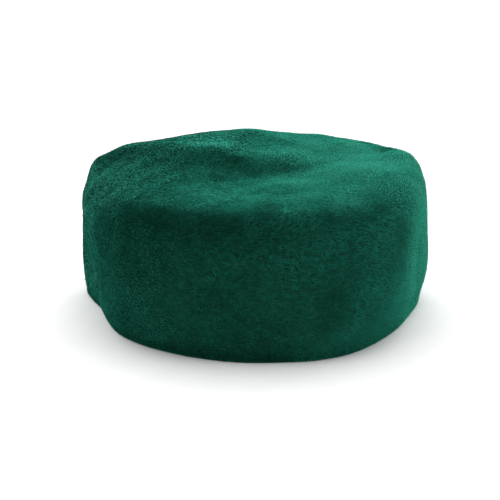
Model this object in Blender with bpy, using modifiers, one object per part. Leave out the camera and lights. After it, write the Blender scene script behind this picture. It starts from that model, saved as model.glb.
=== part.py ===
"""A kufi cap of thick wool felt: one blocked piece, open underneath, with a soft shoulder and a dented crown.

Metres, +Z up. The cap stands on its rim at z = 0, its front faces -Y, and the origin is the middle of its
footprint.
"""

from collections import namedtuple
from math import cos, degrees, hypot, pi, radians, sin

import bmesh
import bpy
from mathutils import Vector

MM = 0.001

# Driving dimensions.
FELT = 0.0030  # thickness of the felt
FRONT_HEIGHT = 0.0950  # rim to the top of the front shoulder
REAR_HEIGHT = 0.0905  # rim to the top of the rear shoulder
SHOULDER_RADIUS = 0.0130  # round of the edge between wall and crown, on the outside
HEM_HEIGHT = 0.0045  # the lowest strip of the wall stands upright
HEM_ROUND = 0.0008  # soft corner of the cut edge
FADE_DEPTH = 0.030  # the crown's dents die away this far down the wall

# How finely the felt is divided.
CROWN_CELLS = 24  # squares across the crown, four sides of them make one turn of the wall
SHOULDER_ROWS = 5
WALL_ROWS = 12

FELT_COLOUR = (0.012, 0.105, 0.066, 1.0)
FELT_ROUGHNESS = 0.95

# Outer outline of the cap at some heights: where its middle is across the cap, half of its width, how far it
# reaches to the front and to the rear, and how square it is (2 is an ellipse).
Level = namedtuple("Level", "height middle half_width front rear squareness")
LEVELS = (
    Level(HEM_HEIGHT, -0.0005, 0.0975, 0.0905, 0.0895, 1.9),
    Level(0.022, 0.0005, 0.0990, 0.0940, 0.0905, 2.25),
    Level(0.044, -0.0005, 0.1010, 0.0950, 0.0920, 2.4),
    Level(0.066, -0.0010, 0.1035, 0.0955, 0.0930, 2.2),
    Level(0.085, -0.0005, 0.1025, 0.0945, 0.0950, 2.1),
)

# Folds and dents of the wall. Each runs between two heights, leans from one azimuth to another, and stands
# out by its height (or in, where it is negative). Azimuth 0 is +X, 270 is the front.
WallFold = namedtuple("WallFold", "low high azimuth_low azimuth_high half_angle out")
WALL_FOLDS = (
    WallFold(-0.045, 0.095, 195, 189, 29, -0.0040),  # crease at the left end
    WallFold(-0.045, 0.100, 345, 351, 25, -0.0010),  # crease at the right end
    WallFold(-0.035, 0.094, 169, 156, 24, 0.0140),  # left end swells behind its crease
    WallFold(-0.035, 0.090, 8, 14, 30, 0.0100),  # right end swells behind its crease
    WallFold(-0.038, 0.044, 162, 160, 15, 0.0045),  # the swellings reach out further near the rim
    WallFold(-0.036, 0.040, 17, 22, 18, 0.0020),
    WallFold(0.018, 0.102, 228, 225, 8, 0.0006),  # faint upright ridge at the left of the front
    WallFold(0.030, 0.085, 238, 237, 9, -0.0015),  # shallow hollow beside it
    WallFold(-0.070, 0.062, 243, 247, 27, -0.0010),  # the left of the front lies a little flatter
    WallFold(-0.070, 0.070, 302, 298, 28, 0.0040),  # soft swelling at the right of the front
    WallFold(0.010, 0.090, 62, 66, 18, -0.0012),  # shallow dents of the rear
    WallFold(-0.010, 0.070, 112, 108, 20, -0.0015),
    WallFold(0.008, 0.094, 353, 357, 5, 0.0004),  # the right end turns in a tighter corner
    WallFold(0.008, 0.096, 339, 342, 10, -0.0012),  # and lies flatter before it
    WallFold(0.008, 0.096, 189, 183, 8, 0.0004),  # the left end turns in a tighter corner
    WallFold(0.004, 0.100, 198, 199, 11, -0.0020),  # and lies flatter before it
)

# Sections through the crown from left to right, PLACE_STEP apart from place to place. Each tells, in whole
# millimetres, how far the crown stands above its plain form there, or below it, where the number is negative.
# y is the section's distance behind the middle, in millimetres too.
PLACE_STEP = 26
Section = namedtuple(
    "Section", "y far_left left mid_left near_left middle near_right mid_right right far_right"
)
CROWN_SECTIONS = (
    Section(-95, -9, -13, -16, -14, -12, -13, -14, -16, -16),  # the front lies lowest
    Section(-76, -11, -11, -11, -10, -9, -9, -12, -13, -11),
    Section(-57, -13, -11, -7, -8, -8, -7, -8, -10, -6),
    Section(-38, -14, -8, -4, -7, -10, -9, -6, -6, -6),
    Section(-19, -12, -4, 0, -2, -9, -11, -7, -3, -5),  # through the hollow, right of the middle
    Section(0, -10, 0, 7, 5, -2, -6, -4, -2, -2),
    Section(19, -3, 8, 10, 7, 4, 0, -2, -2, 3),  # up to the hump on the left
    Section(38, 1, 4, 7, 10, 8, 4, 0, -1, 4),
    Section(57, 0, -1, 1, 6, 8, 3, 2, 2, 3),
    Section(76, -3, -3, -1, 2, 3, 1, 0, 1, 2),
    Section(95, -6, -5, -4, -3, -2, -2, -2, -1, 1),
)

# Long folds of the crown: a line from one point to another, how far it bows to its left, the half width on
# its left and on its right, how far its ends run out, and its rise (or depth, where it is negative).
CrownFold = namedtuple("CrownFold", "x0 y0 x1 y1 bow left right ends rise")
CROWN_FOLDS = (
    CrownFold(0.014, -0.035, 0.054, -0.014, 0.006, 0.024, 0.030, 0.025, 0.0030),  # crest before the hollow
    CrownFold(-0.004, 0.006, 0.012, 0.007, -0.002, 0.028, 0.016, 0.040, 0.0035),  # the hollow's far side
    CrownFold(0.055, 0.064, 0.080, 0.035, 0.006, 0.013, 0.016, 0.011, -0.0030),  # crease at the right rear
    CrownFold(-0.091, 0.029, -0.057, 0.025, 0.001, 0.027, 0.017, 0.010, -0.0060),  # dent at the left shoulder
)


def bump(t):
    """1 at t = 0, falling smoothly to 0 at t = -1 and t = 1."""
    return cos(pi * t / 2) ** 2 if abs(t) < 1 else 0.0


def between(low, high, t):
    return low + (high - low) * t


def power(value, exponent):
    """value to a power, keeping its sign."""
    return abs(value) ** exponent * (1 if value >= 0 else -1)


def curve_through(places, values, place):
    """The value at a place, on a smooth curve through the values at the rising places."""
    place = min(max(place, places[0]), places[-1])
    i = max(k for k in range(len(places) - 1) if places[k] <= place)
    t = (place - places[i]) / (places[i + 1] - places[i])
    before, after = values[max(i - 1, 0)], values[min(i + 2, len(values) - 1)]
    leaving = before * (-t + 2 * t**2 - t**3) + values[i] * (2 - 5 * t**2 + 3 * t**3)
    coming = values[i + 1] * (t + 4 * t**2 - 3 * t**3) + after * (t**3 - t**2)
    return (leaving + coming) / 2


def level_at(height):
    """The outline's sizes at a height, on smooth curves through the rows of LEVELS."""
    columns = tuple(zip(*LEVELS))
    return Level(*(curve_through(columns[0], column, height) for column in columns))


def wall_out(azimuth, height):
    """How far the wall's folds move it outwards."""
    total = 0.0
    for fold in WALL_FOLDS:
        t = (height - fold.low) / (fold.high - fold.low)
        if 0 < t < 1:
            centre = between(fold.azimuth_low, fold.azimuth_high, t)
            off = (degrees(azimuth) - centre + 180) % 360 - 180
            total += fold.out * bump(off / fold.half_angle) * bump(2 * t - 1)
    return total


def outline(azimuth, height):
    """The point of the cap's outer outline at this azimuth and height, as x and y."""
    level = level_at(height)
    exponent = 2 / level.squareness
    reach = level.rear if sin(azimuth) > 0 else level.front
    x = level.half_width * power(cos(azimuth), exponent)
    y = reach * power(sin(azimuth), exponent)
    scale = 1 + wall_out(azimuth, height) / hypot(x, y)
    return level.middle + x * scale, y * scale


def lie_rise(x, y):
    """How far the crown's broad lie lifts the felt at this place, on smooth curves through the sections."""
    places = [PLACE_STEP * k for k in range(-4, 5)]
    along = [curve_through(places, section[1:], x / MM) for section in CROWN_SECTIONS]
    return curve_through([section.y for section in CROWN_SECTIONS], along, y / MM) * MM


def fold_rise(fold, x, y):
    length = hypot(fold.x1 - fold.x0, fold.y1 - fold.y0)
    ux, uy = (fold.x1 - fold.x0) / length, (fold.y1 - fold.y0) / length
    dx, dy = x - fold.x0, y - fold.y0
    along = dx * ux + dy * uy
    t = min(max(along / length, 0.0), 1.0)
    side = dy * ux - dx * uy - 4 * fold.bow * t * (1 - t)
    half_width = fold.left if side > 0 else fold.right
    return fold.rise * bump(hypot((along - t * length) / fold.ends, side / half_width))


def crown_rise(x, y):
    """How far the crown's lie and its folds lift the felt at this place."""
    return lie_rise(x, y) + sum(fold_rise(fold, x, y) for fold in CROWN_FOLDS)


def felt_point(azimuth, station):
    """A point of the felt's outer face.

    Station runs from 0 at the crown's middle to 1 at the shoulder's inner edge, 2 at its outer edge, 3 at the
    top of the upright strip and 4 at the rim.
    """
    top = between(FRONT_HEIGHT, REAR_HEIGHT, (1 + sin(azimuth)) / 2)
    wall_top = top - SHOULDER_RADIUS
    if station > 3:
        x, y = outline(azimuth, HEM_HEIGHT)
        return Vector((x, y, HEM_HEIGHT * (4 - station)))
    if station > 2:
        height = between(wall_top, HEM_HEIGHT, station - 2)
        x, y = outline(azimuth, height)
    else:
        x, y = outline(azimuth, wall_top)
        turn = max(station - 1, 0) * pi / 2
        inset = SHOULDER_RADIUS * (1 - sin(turn)) / hypot(x, y)
        share = min(station, 1) * (1 - inset)
        x, y = x * share, y * share
        height = wall_top + SHOULDER_RADIUS * cos(turn)
    fade = min(max((height - top + FADE_DEPTH) / FADE_DEPTH, 0), 1)
    return Vector((x, y, height + crown_rise(x, y) * fade * fade * (3 - 2 * fade)))


def square_to_turn(x, y):
    """Azimuth and distance from the middle of a place in the square from -1 to 1, made round."""
    distance = max(abs(x), abs(y))
    if distance < 1e-6:
        return 0.0, 0.0
    if abs(x) >= abs(y):
        azimuth = y / x * pi / 4 + (0 if x > 0 else pi)
    else:
        azimuth = pi / 2 - x / y * pi / 4 + (0 if y > 0 else pi)
    return azimuth % (2 * pi), distance


def felt_sheet():
    """The outer face of the felt, open below: a grid is the crown, and its edge is drawn down as the wall."""
    sheet = bmesh.new()
    bmesh.ops.create_grid(sheet, x_segments=CROWN_CELLS, y_segments=CROWN_CELLS, size=1.0)
    for vertex in sheet.verts:
        azimuth, station = square_to_turn(vertex.co.x, vertex.co.y)
        vertex.co = (azimuth, station, 0)
    stations = [1 + (i + 1) / SHOULDER_ROWS for i in range(SHOULDER_ROWS)]
    stations += [2 + (i + 1) / WALL_ROWS for i in range(WALL_ROWS)]
    stations.append(4.0)
    edge = [e for e in sheet.edges if e.is_boundary]
    for station in stations:
        made = bmesh.ops.extrude_edge_only(sheet, edges=edge)["geom"]
        for vertex in (v for v in made if isinstance(v, bmesh.types.BMVert)):
            vertex.co.y = station
        edge = [e for e in made if isinstance(e, bmesh.types.BMEdge) and e.is_boundary]
    for vertex in sheet.verts:
        vertex.co = felt_point(vertex.co.x, vertex.co.y)
    bmesh.ops.recalc_face_normals(sheet, faces=sheet.faces)
    highest = max(sheet.faces, key=lambda face: face.calc_center_median().z)
    if highest.normal.z < 0:
        bmesh.ops.reverse_faces(sheet, faces=sheet.faces)
    return sheet


def centre_footprint(sheet):
    """Moves the felt so that the middle of its bounding box is over the origin."""
    xs = [v.co.x for v in sheet.verts]
    ys = [v.co.y for v in sheet.verts]
    middle = Vector(((min(xs) + max(xs)) / 2, (min(ys) + max(ys)) / 2, 0))
    bmesh.ops.translate(sheet, verts=sheet.verts, vec=-middle)


def felt_material():
    material = bpy.data.materials.new("green_felt")
    material.use_nodes = True
    shader = material.node_tree.nodes["Principled BSDF"]
    shader.inputs["Base Color"].default_value = FELT_COLOUR
    shader.inputs["Roughness"].default_value = FELT_ROUGHNESS
    shader.inputs["Metallic"].default_value = 0.0
    return material


def make_cap(collection):
    sheet = felt_sheet()
    centre_footprint(sheet)
    mesh = bpy.data.meshes.new("felt_cap")
    sheet.to_mesh(mesh)
    sheet.free()
    mesh.shade_smooth()
    mesh.materials.append(felt_material())
    cap = bpy.data.objects.new("felt_cap", mesh)
    collection.objects.link(cap)

    wall = cap.modifiers.new("felt_thickness", "SOLIDIFY")
    wall.thickness = FELT
    wall.offset = -1
    wall.use_even_offset = True

    hem = cap.modifiers.new("hem_round", "BEVEL")
    hem.width = HEM_ROUND
    hem.segments = 1
    hem.limit_method = "ANGLE"
    hem.angle_limit = radians(60)


def main():
    for old in list(bpy.data.objects):
        bpy.data.objects.remove(old)
    collection = bpy.data.collections.new("kufi_cap")
    bpy.context.scene.collection.children.link(collection)
    make_cap(collection)


main()
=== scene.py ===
# %% [markdown]
# # A kufi cap of brushed green felt
#
# The cap in the photograph is one piece of thick wool felt, pulled over a wooden block while wet and left
# to dry. It has no seam, band or stitching, so its whole look comes from three things: the soft dented
# form, the matted green surface, and the short nap that was brushed up out of it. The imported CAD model
# brings the form at its real size. This script makes the felt finer, colours it, and grows the nap on it.

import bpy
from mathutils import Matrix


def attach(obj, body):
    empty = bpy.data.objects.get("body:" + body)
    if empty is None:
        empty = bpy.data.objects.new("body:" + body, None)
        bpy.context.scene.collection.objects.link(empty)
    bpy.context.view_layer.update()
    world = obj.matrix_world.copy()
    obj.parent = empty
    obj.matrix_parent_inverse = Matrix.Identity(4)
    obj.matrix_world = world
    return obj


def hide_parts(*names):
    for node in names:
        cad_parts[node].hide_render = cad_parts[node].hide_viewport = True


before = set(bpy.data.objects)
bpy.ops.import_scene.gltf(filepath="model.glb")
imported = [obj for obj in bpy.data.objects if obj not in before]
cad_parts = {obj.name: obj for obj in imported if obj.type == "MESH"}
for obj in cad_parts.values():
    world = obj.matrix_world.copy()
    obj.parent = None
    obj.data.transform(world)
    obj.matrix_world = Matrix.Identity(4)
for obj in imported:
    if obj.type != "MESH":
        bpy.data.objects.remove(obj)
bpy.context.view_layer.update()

# %% Blender's own modules
from math import cos, pi, radians, sin

import bmesh
import bpy
import numpy as np
from mathutils import Vector

MM = 0.001
INSIDE = 40 * MM  # a height well inside the cap's hollow, from which the outer faces point away
scene = bpy.context.scene

# %% [markdown]
# ## The felt
#
# The CAD cap is made of flat triangles about 6 mm across, which would show as facets in a soft cloth. The
# triangles come in pairs, so they can be joined back into four-sided faces, and a Subdivision Surface
# modifier then rounds them into a smooth felt. Subdivision needs four-sided faces in tidy rows to stay free
# of ripples, which is why the pairs are joined first. The copy is welded before that, because an imported
# mesh keeps its triangles apart.

# %% Weld the copy and join its triangles
SAME_POINT = 0.01 * MM
MOST_BENT, MOST_SKEWED = radians(70), radians(80)  # the limits for joining a pair of triangles

felt_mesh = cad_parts["felt_cap"].data.copy()
felt_mesh.name = "felt"
weld = bmesh.new()
weld.from_mesh(felt_mesh)
bmesh.ops.remove_doubles(weld, verts=weld.verts, dist=SAME_POINT)
bmesh.ops.join_triangles(
    weld, faces=weld.faces, angle_face_threshold=MOST_BENT, angle_shape_threshold=MOST_SKEWED
)
three_sided = sum(len(face.verts) == 3 for face in weld.faces)
print("felt faces after joining:", len(weld.faces), "of them three-sided:", three_sided)
weld.to_mesh(felt_mesh)
weld.free()
felt_mesh.materials.clear()
for name in ("custom_normal", "sharp_edge", "sharp_face"):
    if name in felt_mesh.attributes:
        felt_mesh.attributes.remove(felt_mesh.attributes[name])
felt_mesh.shade_smooth()
felt = bpy.data.objects.new("felt", felt_mesh)
scene.collection.objects.link(felt)


# %% Round the felt with subdivision
ROUNDING_STEPS = 2


def apply_modifiers(piece):
    """Turns a piece and its modifiers into one plain mesh."""
    bpy.context.view_layer.update()
    evaluated = piece.evaluated_get(bpy.context.evaluated_depsgraph_get())
    plain = bpy.data.meshes.new_from_object(evaluated)
    plain.name = piece.name
    piece.modifiers.clear()
    piece.data = plain
    return plain


round_off = felt.modifiers.new("round_off", "SUBSURF")
round_off.levels = ROUNDING_STEPS
round_off.render_levels = ROUNDING_STEPS
felt_mesh = apply_modifiers(felt)
print("felt faces after subdivision:", len(felt_mesh.polygons))

# %% [markdown]
# ## The lie of the surface
#
# Blocked felt is never as smooth as a casting. Fulling leaves soft lumps a centimetre or two across and a
# fraction of a millimetre high, and they break up the light on the crown and the wall. Moving the points
# along their normals by a few sine waves of different directions and lengths gives such lumps, costs
# nothing, and is the same on every run. Both faces of the felt move together, so its thickness stays.

# %% Press soft lumps into the felt
LUMP_HEIGHT = 0.25 * MM
LUMP_WAVES = 28
LUMP_SHORTEST, LUMP_LONGEST = 13 * MM, 36 * MM
FLAT_RIM = 8 * MM  # the lumps fade to nothing over this height above the rim


def soft_lumps(points, seed):
    """A smooth random height from -1 to 1 at each point, a sum of waves in random directions."""
    dice = np.random.default_rng(seed)
    directions = dice.normal(size=(LUMP_WAVES, 3))
    directions /= np.linalg.norm(directions, axis=1)[:, None]
    lengths = dice.uniform(LUMP_SHORTEST, LUMP_LONGEST, LUMP_WAVES)
    phases = dice.uniform(0, 2 * pi, LUMP_WAVES)
    waves = np.sin(points @ (directions * (2 * pi / lengths)[:, None]).T + phases)
    return np.clip(waves.sum(axis=1) / np.sqrt(LUMP_WAVES * 2), -1, 1)


points = np.empty(len(felt_mesh.vertices) * 3)
normals = np.empty(len(felt_mesh.vertices) * 3)
felt_mesh.vertices.foreach_get("co", points)
felt_mesh.vertex_normals.foreach_get("vector", normals)
points, normals = points.reshape(-1, 3), normals.reshape(-1, 3)
away = points - np.array([0, 0, INSIDE])
outside = np.sum(away * normals, axis=1) > 0
push = np.where(outside[:, None], normals, -normals)
above_rim = np.clip(points[:, 2] / FLAT_RIM, 0, 1)[:, None]
points = points + push * above_rim * (LUMP_HEIGHT * soft_lumps(points, seed=7))[:, None]
felt_mesh.vertices.foreach_set("co", points.ravel())
felt_mesh.update()
print("felt from", points.min(axis=0).round(4), "to", points.max(axis=0).round(4))

# %% [markdown]
# ## The colour of the felt
#
# Dyed wool is dark and takes the dye unevenly, and the matted fibres lie in short streaks. The material
# therefore starts from a deep green, shifts it a little in soft patches, and adds fine streaks that are
# stretched along the wall. The wool has next to no gloss but a strong sheen: light that grazes the fuzz
# comes back green. The Principled shader has a sheen of its own for this. Noise in Object coordinates needs
# no unwrapping and has no seam.

# %% A few helpers for node trees
FELT_GREEN = (0.0054, 0.044, 0.0267, 1)
FELT_DARK = (0.0021, 0.018, 0.0107, 1)
FELT_LIGHT = (0.0108, 0.089, 0.0555, 1)
SHEEN_GREEN = (0.05, 0.95, 0.67, 1)
STREAK_SHARE = 0.62  # how much of the mottling is fine streaks, and not soft patches
ALONG_WALL = (1, 1, 2.6)  # noise squeezed in height, so that its streaks lie along the wall


class Nodes:
    """Adds nodes to a tree and links them, so that each step of a material is one line."""

    def __init__(self, tree):
        self.tree = tree
        self.tree.nodes.clear()

    def add(self, kind, inputs=None, **settings):
        node = self.tree.nodes.new(kind)
        for name, value in settings.items():
            setattr(node, name, value)
        for name, value in (inputs or {}).items():
            socket = node.inputs[name]
            if isinstance(value, bpy.types.NodeSocket):
                self.tree.links.new(value, socket)
            else:
                socket.default_value = value
        return node


def ramp(nodes, factor, stops):
    """A colour ramp through (position, colour) stops."""
    node = nodes.add("ShaderNodeValToRGB", {"Fac": factor})
    elements = node.color_ramp.elements
    elements[0].position, elements[0].color = stops[0]
    elements[1].position, elements[1].color = stops[-1]
    for position, colour in stops[1:-1]:
        elements.new(position).color = colour
    return node.outputs["Color"]


# %% The felt material
def felt_material(name, tone_share):
    """Dyed wool. tone_share is how much of its light and dark comes from each lock's own tone."""
    material = bpy.data.materials.new(name)
    material.use_nodes = True
    nodes = Nodes(material.node_tree)
    place = nodes.add("ShaderNodeTexCoord").outputs["Object"]
    patches = nodes.add("ShaderNodeTexNoise", {"Vector": place, "Scale": 30, "Detail": 3, "Roughness": 0.6})
    level = nodes.add("ShaderNodeMapping", {"Vector": place, "Scale": ALONG_WALL}, vector_type="POINT")
    streaks = nodes.add(
        "ShaderNodeTexNoise",
        {"Vector": level.outputs["Vector"], "Scale": 240, "Detail": 3, "Roughness": 0.65, "Distortion": 0.8},
    )
    mottle = nodes.add(
        "ShaderNodeMix",
        {"Factor": STREAK_SHARE, "A": patches.outputs["Fac"], "B": streaks.outputs["Fac"]},
        data_type="FLOAT",
    )
    tone = mottle.outputs["Result"]
    if tone_share:
        own = nodes.add("ShaderNodeAttribute", attribute_name="tone", attribute_type="GEOMETRY")
        both = nodes.add(
            "ShaderNodeMix", {"Factor": tone_share, "A": tone, "B": own.outputs["Fac"]}, data_type="FLOAT"
        )
        tone = both.outputs["Result"]
    colour = ramp(nodes, tone, [(0.34, FELT_DARK), (0.50, FELT_GREEN), (0.66, FELT_LIGHT)])
    fuzz = nodes.add(
        "ShaderNodeTexNoise",
        {"Vector": level.outputs["Vector"], "Scale": 800, "Detail": 5, "Roughness": 0.75},
    )
    relief = nodes.add(
        "ShaderNodeBump", {"Height": fuzz.outputs["Fac"], "Strength": 0.6, "Distance": 0.5 * MM}
    )
    shader = nodes.add(
        "ShaderNodeBsdfPrincipled",
        {
            "Base Color": colour,
            "Roughness": 1.0,
            "Specular IOR Level": 0.02,
            "Sheen Weight": 0.44,
            "Sheen Roughness": 0.50,
            "Sheen Tint": SHEEN_GREEN,
            "Normal": relief.outputs["Normal"],
        },
    )
    nodes.add("ShaderNodeOutputMaterial", {"Surface": shader.outputs["BSDF"]})
    return material


felt_green = felt_material("green_felt", tone_share=0)
felt_mesh.materials.append(felt_green)
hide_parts("felt_cap")
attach(felt, "root")
print("felt:", sum(len(face.vertices) - 2 for face in felt_mesh.polygons), "triangles")

# %% [markdown]
# ## The nap
#
# Brushing lifts the ends of the wool fibres into a short nap. It lies round the cap in one sense, because
# the brush goes round, and wanders off that way in patches, which is what the wavy streaks on the wall are.
# One fibre end is far thinner than a pixel, so each strand made here stands for a small lock of them. Hair
# would be lost on export, so Geometry Nodes scatter points on the felt and put a slim closed spike on each
# one, turned to lie along the surface. The felt is split into a few regions to keep each piece of nap a
# sensible size.


# %% One lock of fibres
def lock_mesh():
    """A three-sided spike 1 long along +Z, 1 wide and 1 thick, with its ridge towards +Y, closed below."""
    spike = bmesh.new()
    foot = [spike.verts.new(place) for place in ((0, 0.6, 0), (-0.5, -0.4, 0), (0.5, -0.4, 0))]
    tip = spike.verts.new((0, 0, 1))
    for i in range(3):
        spike.faces.new((foot[i], foot[(i + 1) % 3], tip))
    spike.faces.new(reversed(foot))
    mesh = bpy.data.meshes.new("fibre_lock")
    spike.to_mesh(mesh)
    spike.free()
    mesh.shade_smooth()
    return mesh


nap_green = felt_material("nap_green", tone_share=0.45)
lock = bpy.data.objects.new("fibre_lock", lock_mesh())
print("one lock has", len(lock.data.polygons), "faces")


# %% The tree that lays the nap
NAP_MIDDLE_Y = 12 * MM  # the nap turns about a point a little behind the middle of the crown
DRIFT_SCALE = 42  # patches in which the nap wanders off together are a few centimetres across
CLUMP_LOW, CLUMP_HIGH = 0.30, 0.70  # the part of the clump noise that is used
OWN_SHARE = 0.40  # how much of a lock's tone and lift is its own, and not its clump's
OWN_SEED, LENGTH_SEED = 17, 5  # not the same, so that tone and length don't go together


def nap_tree():
    """Scatters locks on a surface, lying round the cap and wandering off with the noise."""
    tree = bpy.data.node_groups.new("lay_nap", "GeometryNodeTree")
    tree.interface.new_socket("Surface", in_out="INPUT", socket_type="NodeSocketGeometry")
    for name, kind in (
        ("Lock", "NodeSocketObject"),
        ("Locks per square metre", "NodeSocketFloat"),
        ("Seed", "NodeSocketInt"),
        ("Shortest", "NodeSocketFloat"),
        ("Longest", "NodeSocketFloat"),
        ("Width", "NodeSocketFloat"),
        ("Thickness", "NodeSocketFloat"),
        ("Least lift", "NodeSocketFloat"),
        ("Most lift", "NodeSocketFloat"),
        ("Wander", "NodeSocketFloat"),
        ("Stray", "NodeSocketFloat"),
        ("Clump scale", "NodeSocketFloat"),
        ("Sunk", "NodeSocketFloat"),
        ("Material", "NodeSocketMaterial"),
    ):
        tree.interface.new_socket(name, in_out="INPUT", socket_type=kind)
    tree.interface.new_socket("Nap", in_out="OUTPUT", socket_type="NodeSocketGeometry")
    nodes = Nodes(tree)
    given = nodes.add("NodeGroupInput").outputs
    scatter = nodes.add(
        "GeometryNodeDistributePointsOnFaces",
        {"Mesh": given["Surface"], "Density": given["Locks per square metre"], "Seed": given["Seed"]},
    )
    normal = scatter.outputs["Normal"]
    place = nodes.add("GeometryNodeInputPosition").outputs["Position"]

    # Round the cap: the way is at right angles to the line from the middle of the crown.
    split = nodes.add("ShaderNodeSeparateXYZ", {"Vector": place})
    turned = nodes.add("ShaderNodeMath", {0: NAP_MIDDLE_Y, 1: split.outputs["Y"]}, operation="SUBTRACT")
    way = nodes.add("ShaderNodeCombineXYZ", {"X": turned.outputs[0], "Y": split.outputs["X"], "Z": 0.0})
    across = nodes.add("ShaderNodeVectorMath", {0: normal, 1: way.outputs[0]}, operation="CROSS_PRODUCT")
    along = nodes.add(
        "ShaderNodeVectorMath", {0: across.outputs["Vector"], 1: normal}, operation="CROSS_PRODUCT"
    )

    # Wandering: a slow noise turns the way about the normal, and each lock strays a little more by itself.
    drift = nodes.add(
        "ShaderNodeTexNoise", {"Vector": place, "Scale": DRIFT_SCALE, "Detail": 2, "Roughness": 0.55}
    )
    centred = nodes.add("ShaderNodeMath", {0: drift.outputs["Fac"], 1: 0.5}, operation="SUBTRACT")
    turn = nodes.add("ShaderNodeMath", {0: centred.outputs[0], 1: given["Wander"]}, operation="MULTIPLY")
    low = nodes.add("ShaderNodeMath", {0: given["Stray"], 1: -1.0}, operation="MULTIPLY")
    stray = nodes.add(
        "FunctionNodeRandomValue",
        {"Min": low.outputs[0], "Max": given["Stray"], "Seed": given["Seed"]},
        data_type="FLOAT",
    )
    angle = nodes.add(
        "ShaderNodeMath", {0: turn.outputs[0], 1: stray.outputs["Value"]}, operation="ADD"
    )
    laid = nodes.add(
        "ShaderNodeVectorRotate",
        {"Vector": along.outputs["Vector"], "Center": (0, 0, 0), "Axis": normal, "Angle": angle.outputs[0]},
        rotation_type="AXIS_ANGLE",
    )
    flat = nodes.add("ShaderNodeVectorMath", {0: laid.outputs["Vector"]}, operation="NORMALIZE")

    # Clumps: locks that stand close together share most of their tone, and stand up together.
    matted = nodes.add(
        "ShaderNodeTexNoise", {"Vector": place, "Scale": given["Clump scale"], "Detail": 1, "Roughness": 0.5}
    )
    clump = nodes.add(
        "ShaderNodeMapRange",
        {"Value": matted.outputs["Fac"], "From Min": CLUMP_LOW, "From Max": CLUMP_HIGH},
    )
    own = nodes.add("FunctionNodeRandomValue", {"Min": 0.0, "Max": 1.0, "Seed": OWN_SEED}, data_type="FLOAT")
    both = nodes.add(
        "ShaderNodeMix",
        {"Factor": OWN_SHARE, "A": clump.outputs["Result"], "B": own.outputs["Value"]},
        data_type="FLOAT",
    )
    lift = nodes.add(
        "ShaderNodeMapRange",
        {"Value": both.outputs["Result"], "To Min": given["Least lift"], "To Max": given["Most lift"]},
    )
    rise = nodes.add("ShaderNodeVectorMath", {0: normal, "Scale": lift.outputs["Result"]}, operation="SCALE")
    pointing = nodes.add(
        "ShaderNodeVectorMath", {0: flat.outputs["Vector"], 1: rise.outputs["Vector"]}, operation="ADD"
    )
    pointed = nodes.add("FunctionNodeAlignRotationToVector", {"Vector": pointing.outputs["Vector"]}, axis="Z")
    turned_lock = nodes.add(
        "FunctionNodeAlignRotationToVector",
        {"Rotation": pointed.outputs["Rotation"], "Vector": normal},
        axis="Y",
        pivot_axis="Z",
    )

    length = nodes.add(
        "FunctionNodeRandomValue",
        {"Min": given["Shortest"], "Max": given["Longest"], "Seed": LENGTH_SEED},
        data_type="FLOAT",
    )
    size = nodes.add(
        "ShaderNodeCombineXYZ",
        {"X": given["Width"], "Y": given["Thickness"], "Z": length.outputs["Value"]},
    )
    down = nodes.add("ShaderNodeMath", {0: given["Sunk"], 1: -1.0}, operation="MULTIPLY")
    into = nodes.add("ShaderNodeVectorMath", {0: normal, "Scale": down.outputs[0]}, operation="SCALE")
    rooted = nodes.add(
        "GeometryNodeSetPosition", {"Geometry": scatter.outputs["Points"], "Offset": into.outputs["Vector"]}
    )
    toned = nodes.add(
        "GeometryNodeStoreNamedAttribute",
        {"Geometry": rooted.outputs["Geometry"], "Name": "tone", "Value": both.outputs["Result"]},
        data_type="FLOAT",
        domain="POINT",
    )
    shape = nodes.add("GeometryNodeObjectInfo", {"Object": given["Lock"]})
    planted = nodes.add(
        "GeometryNodeInstanceOnPoints",
        {
            "Points": toned.outputs["Geometry"],
            "Instance": shape.outputs["Geometry"],
            "Rotation": turned_lock.outputs["Rotation"],
            "Scale": size.outputs["Vector"],
        },
    )
    real = nodes.add("GeometryNodeRealizeInstances", {"Geometry": planted.outputs["Instances"]})
    dyed = nodes.add(
        "GeometryNodeSetMaterial", {"Geometry": real.outputs["Geometry"], "Material": given["Material"]}
    )
    nodes.add("NodeGroupOutput", {"Nap": dyed.outputs["Geometry"]})
    return tree


lay_nap = nap_tree()
print("nap tree:", len(lay_nap.nodes), "nodes")


# %% The regions that get a nap
CROWN_TILT = 0.72  # a face counts as crown where the upward part of its normal is over this
BARE_RIM = 1.2 * MM  # no locks are rooted lower than this


def region(name, keep):
    """A copy of the felt's outer faces for which keep(middle, normal) is true, and its area."""
    mesh = felt_mesh.copy()
    cut = bmesh.new()
    cut.from_mesh(mesh)
    drop = []
    for face in cut.faces:
        middle = face.calc_center_median()
        outer = (middle - Vector((0, 0, INSIDE))).dot(face.normal) > 0
        if not (outer and middle.z > BARE_RIM and keep(middle, face.normal)):
            drop.append(face)
    bmesh.ops.delete(cut, geom=drop, context="FACES")
    cut.to_mesh(mesh)
    area = sum(face.calc_area() for face in cut.faces)
    cut.free()
    piece = bpy.data.objects.new(name, mesh)
    scene.collection.objects.link(piece)
    print(name, "covers", round(area * 1e4, 1), "square centimetres")
    return piece, area


crown, crown_area = region("nap_crown", lambda middle, normal: normal.z > CROWN_TILT)
front, front_area = region("nap_front", lambda middle, normal: normal.z <= CROWN_TILT and middle.y < 0)
rear, rear_area = region("nap_rear", lambda middle, normal: normal.z <= CROWN_TILT and middle.y >= 0)
fuzz_top, fuzz_top_area = region("fuzz_crown", lambda middle, normal: normal.z > CROWN_TILT)
fuzz_side, fuzz_side_area = region("fuzz_wall", lambda middle, normal: normal.z <= CROWN_TILT)


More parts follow.
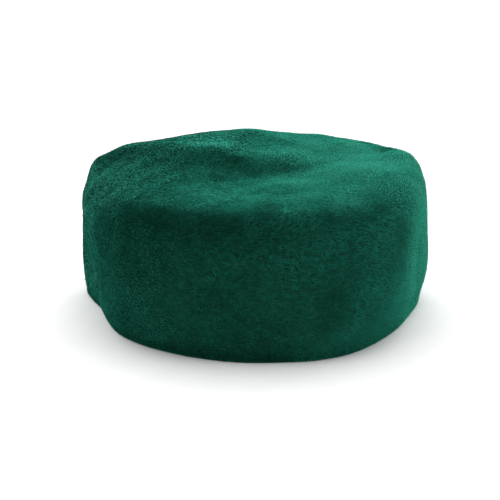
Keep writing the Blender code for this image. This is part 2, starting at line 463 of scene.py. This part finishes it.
# %% Grow the nap
def grow_nap(piece, area, locks, seed, **sizes):
    """Covers a region with this many locks and leaves them as a plain mesh."""
    nap = piece.modifiers.new("nap", "NODES")
    nap.node_group = lay_nap
    values = {
        "Lock": lock,
        "Locks per square metre": locks / area,
        "Seed": seed,
        "Shortest": 1.8 * MM,
        "Longest": 4.4 * MM,
        "Width": 0.60 * MM,
        "Thickness": 0.26 * MM,
        "Least lift": -0.02,
        "Most lift": 0.16,
        "Wander": radians(260),
        "Stray": radians(24),
        "Clump scale": 420,
        "Sunk": 0.10 * MM,
        "Material": nap_green,
    }
    values.update(sizes)
    for item in lay_nap.interface.items_tree:
        if item.in_out == "INPUT" and item.name in values:
            nap[item.identifier] = values[item.name]
    mesh = apply_modifiers(piece)
    tips = np.empty(len(mesh.vertices) * 3)
    mesh.vertices.foreach_get("co", tips)
    tips[2::3] = np.maximum(tips[2::3], 0)
    mesh.vertices.foreach_set("co", tips)
    mesh.update()
    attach(piece, "root")
    print(piece.name, "has", len(mesh.polygons), "triangles")


NAP_LOCKS = 48000
grow_nap(crown, crown_area, NAP_LOCKS, seed=1)
grow_nap(front, front_area, NAP_LOCKS, seed=2)
grow_nap(rear, rear_area, NAP_LOCKS, seed=3)

# %% Add the fine upright fuzz
FUZZ = {
    "Shortest": 0.7 * MM,
    "Longest": 1.6 * MM,
    "Width": 0.12 * MM,
    "Thickness": 0.10 * MM,
    "Least lift": 0.3,
    "Most lift": 1.3,
    "Stray": radians(70),
}
TOP_FUZZ, SIDE_FUZZ = 24000, 38000
grow_nap(fuzz_top, fuzz_top_area, TOP_FUZZ, seed=4, **FUZZ)
grow_nap(fuzz_side, fuzz_side_area, SIDE_FUZZ, seed=5, **FUZZ)
bpy.data.objects.remove(lock)

# %% [markdown]
# ## The floor
#
# The photograph has a plain white ground. A large pale plane does, and it reaches far enough behind the cap
# to fill the frame.

# %% Floor
FLOOR_SIZE = 12  # metres
PAPER_GREY, PAPER_WHITE = (0.86, 0.86, 0.86, 1), (0.88, 0.88, 0.88, 1)

bpy.ops.mesh.primitive_plane_add(size=FLOOR_SIZE, location=(0, 0, 0))
floor = bpy.context.object
floor.name = "floor"
paper = bpy.data.materials.new("floor_white")
paper.use_nodes = True
nodes = Nodes(paper.node_tree)
place = nodes.add("ShaderNodeTexCoord").outputs["Object"]
grain = nodes.add("ShaderNodeTexNoise", {"Vector": place, "Scale": 60, "Detail": 2})
tone = ramp(nodes, grain.outputs["Fac"], [(0.3, PAPER_GREY), (0.7, PAPER_WHITE)])
shader = nodes.add(
    "ShaderNodeBsdfPrincipled", {"Base Color": tone, "Roughness": 0.9, "Specular IOR Level": 0.1}
)
nodes.add("ShaderNodeOutputMaterial", {"Surface": shader.outputs["BSDF"]})
floor.data.materials.append(paper)

# %% [markdown]
# ## The light
#
# The crown shows its dents in strong light and dark and the front of the wall is dim, so the main lights
# stand low behind, to the right and to the left, as two wide soft boxes. Weaker ones at both ends draw the
# bright line down each, a soft one above fills the crown, and the front of the wall is lit by what the
# white floor sends back. The floor has a soft shadow close round the foot of the cap and is pure white a
# hand away from it. Lamps bright enough for that would wash out the cap, so the work is split, as in a
# studio: the floor has a wide lamp of its own. Light linking does this: each lamp gets a collection of the
# objects that it lights. The world is white for the camera only, so that a low view shows no black edge
# behind the floor.

# %% White surroundings that are seen but give no light
SEEN_WHITE = 1.1  # a little over 1, so that it is pure white

world = bpy.data.worlds.new("studio")
scene.world = world
world.use_nodes = True
world.node_tree.nodes["Background"].inputs["Color"].default_value = (1, 1, 1, 1)
world.node_tree.nodes["Background"].inputs["Strength"].default_value = SEEN_WHITE
for kind in ("diffuse", "glossy", "transmission", "scatter"):
    setattr(world.cycles_visibility, kind, False)
print("surroundings light the cap:", world.cycles_visibility.diffuse)


# %% Lamps that light one thing each
def lamp(name, azimuth, elevation, strength, spread, lit):
    """A distant soft lamp that lights only the objects in lit. Azimuth is clockwise from straight behind."""
    data = bpy.data.lights.new(name, "SUN")
    data.energy = strength
    data.angle = radians(spread)
    made = bpy.data.objects.new(name, data)
    level = cos(radians(elevation))
    towards = Vector((sin(radians(azimuth)) * level, cos(radians(azimuth)) * level, sin(radians(elevation))))
    made.rotation_euler = towards.to_track_quat("Z", "Y").to_euler()
    scene.collection.objects.link(made)
    receivers = bpy.data.collections.new(name + "_lights")
    for piece in lit:
        receivers.objects.link(piece)
    made.light_linking.receiver_collection = receivers
    print(name, "lights", len(lit), "objects")


cap_pieces = [felt, crown, front, rear, fuzz_top, fuzz_side]
lamp("right_rear", azimuth=30, elevation=15, strength=5.2, spread=30, lit=cap_pieces)
lamp("right_rear_high", azimuth=45, elevation=25, strength=1.9, spread=40, lit=cap_pieces)
lamp("left_rear", azimuth=-30, elevation=18, strength=4.5, spread=30, lit=cap_pieces)
lamp("right_side", azimuth=90, elevation=15, strength=1.0, spread=30, lit=cap_pieces)
lamp("left_side", azimuth=-100, elevation=15, strength=0.3, spread=30, lit=cap_pieces)
lamp("top", azimuth=0, elevation=75, strength=1.1, spread=60, lit=cap_pieces)
lamp("floor_light", azimuth=0, elevation=60, strength=6.0, spread=130, lit=[floor])

# %% [markdown]
# ## The camera
#
# The camera's place was worked out from the outline of the cap in the photograph: it stands 70 cm in front,
# 27 cm up, and looks down by nearly 19 degrees.

# %% Camera
PITCH = 18.69  # degrees down
FOCAL_PIXELS = 1202.73
PHOTO_WIDTH = 500
CAMERA_PLACE = (-0.00207, -0.69940, 0.27255)
lens = bpy.data.cameras.new("camera")
lens.sensor_width = 36
lens.lens = FOCAL_PIXELS / PHOTO_WIDTH * lens.sensor_width
camera = bpy.data.objects.new("camera", lens)
camera.location = CAMERA_PLACE
camera.rotation_euler = (radians(90 - PITCH), 0, 0)
scene.collection.objects.link(camera)
scene.camera = camera
scene.view_settings.view_transform = "Standard"
print("lens in mm:", round(lens.lens, 1))
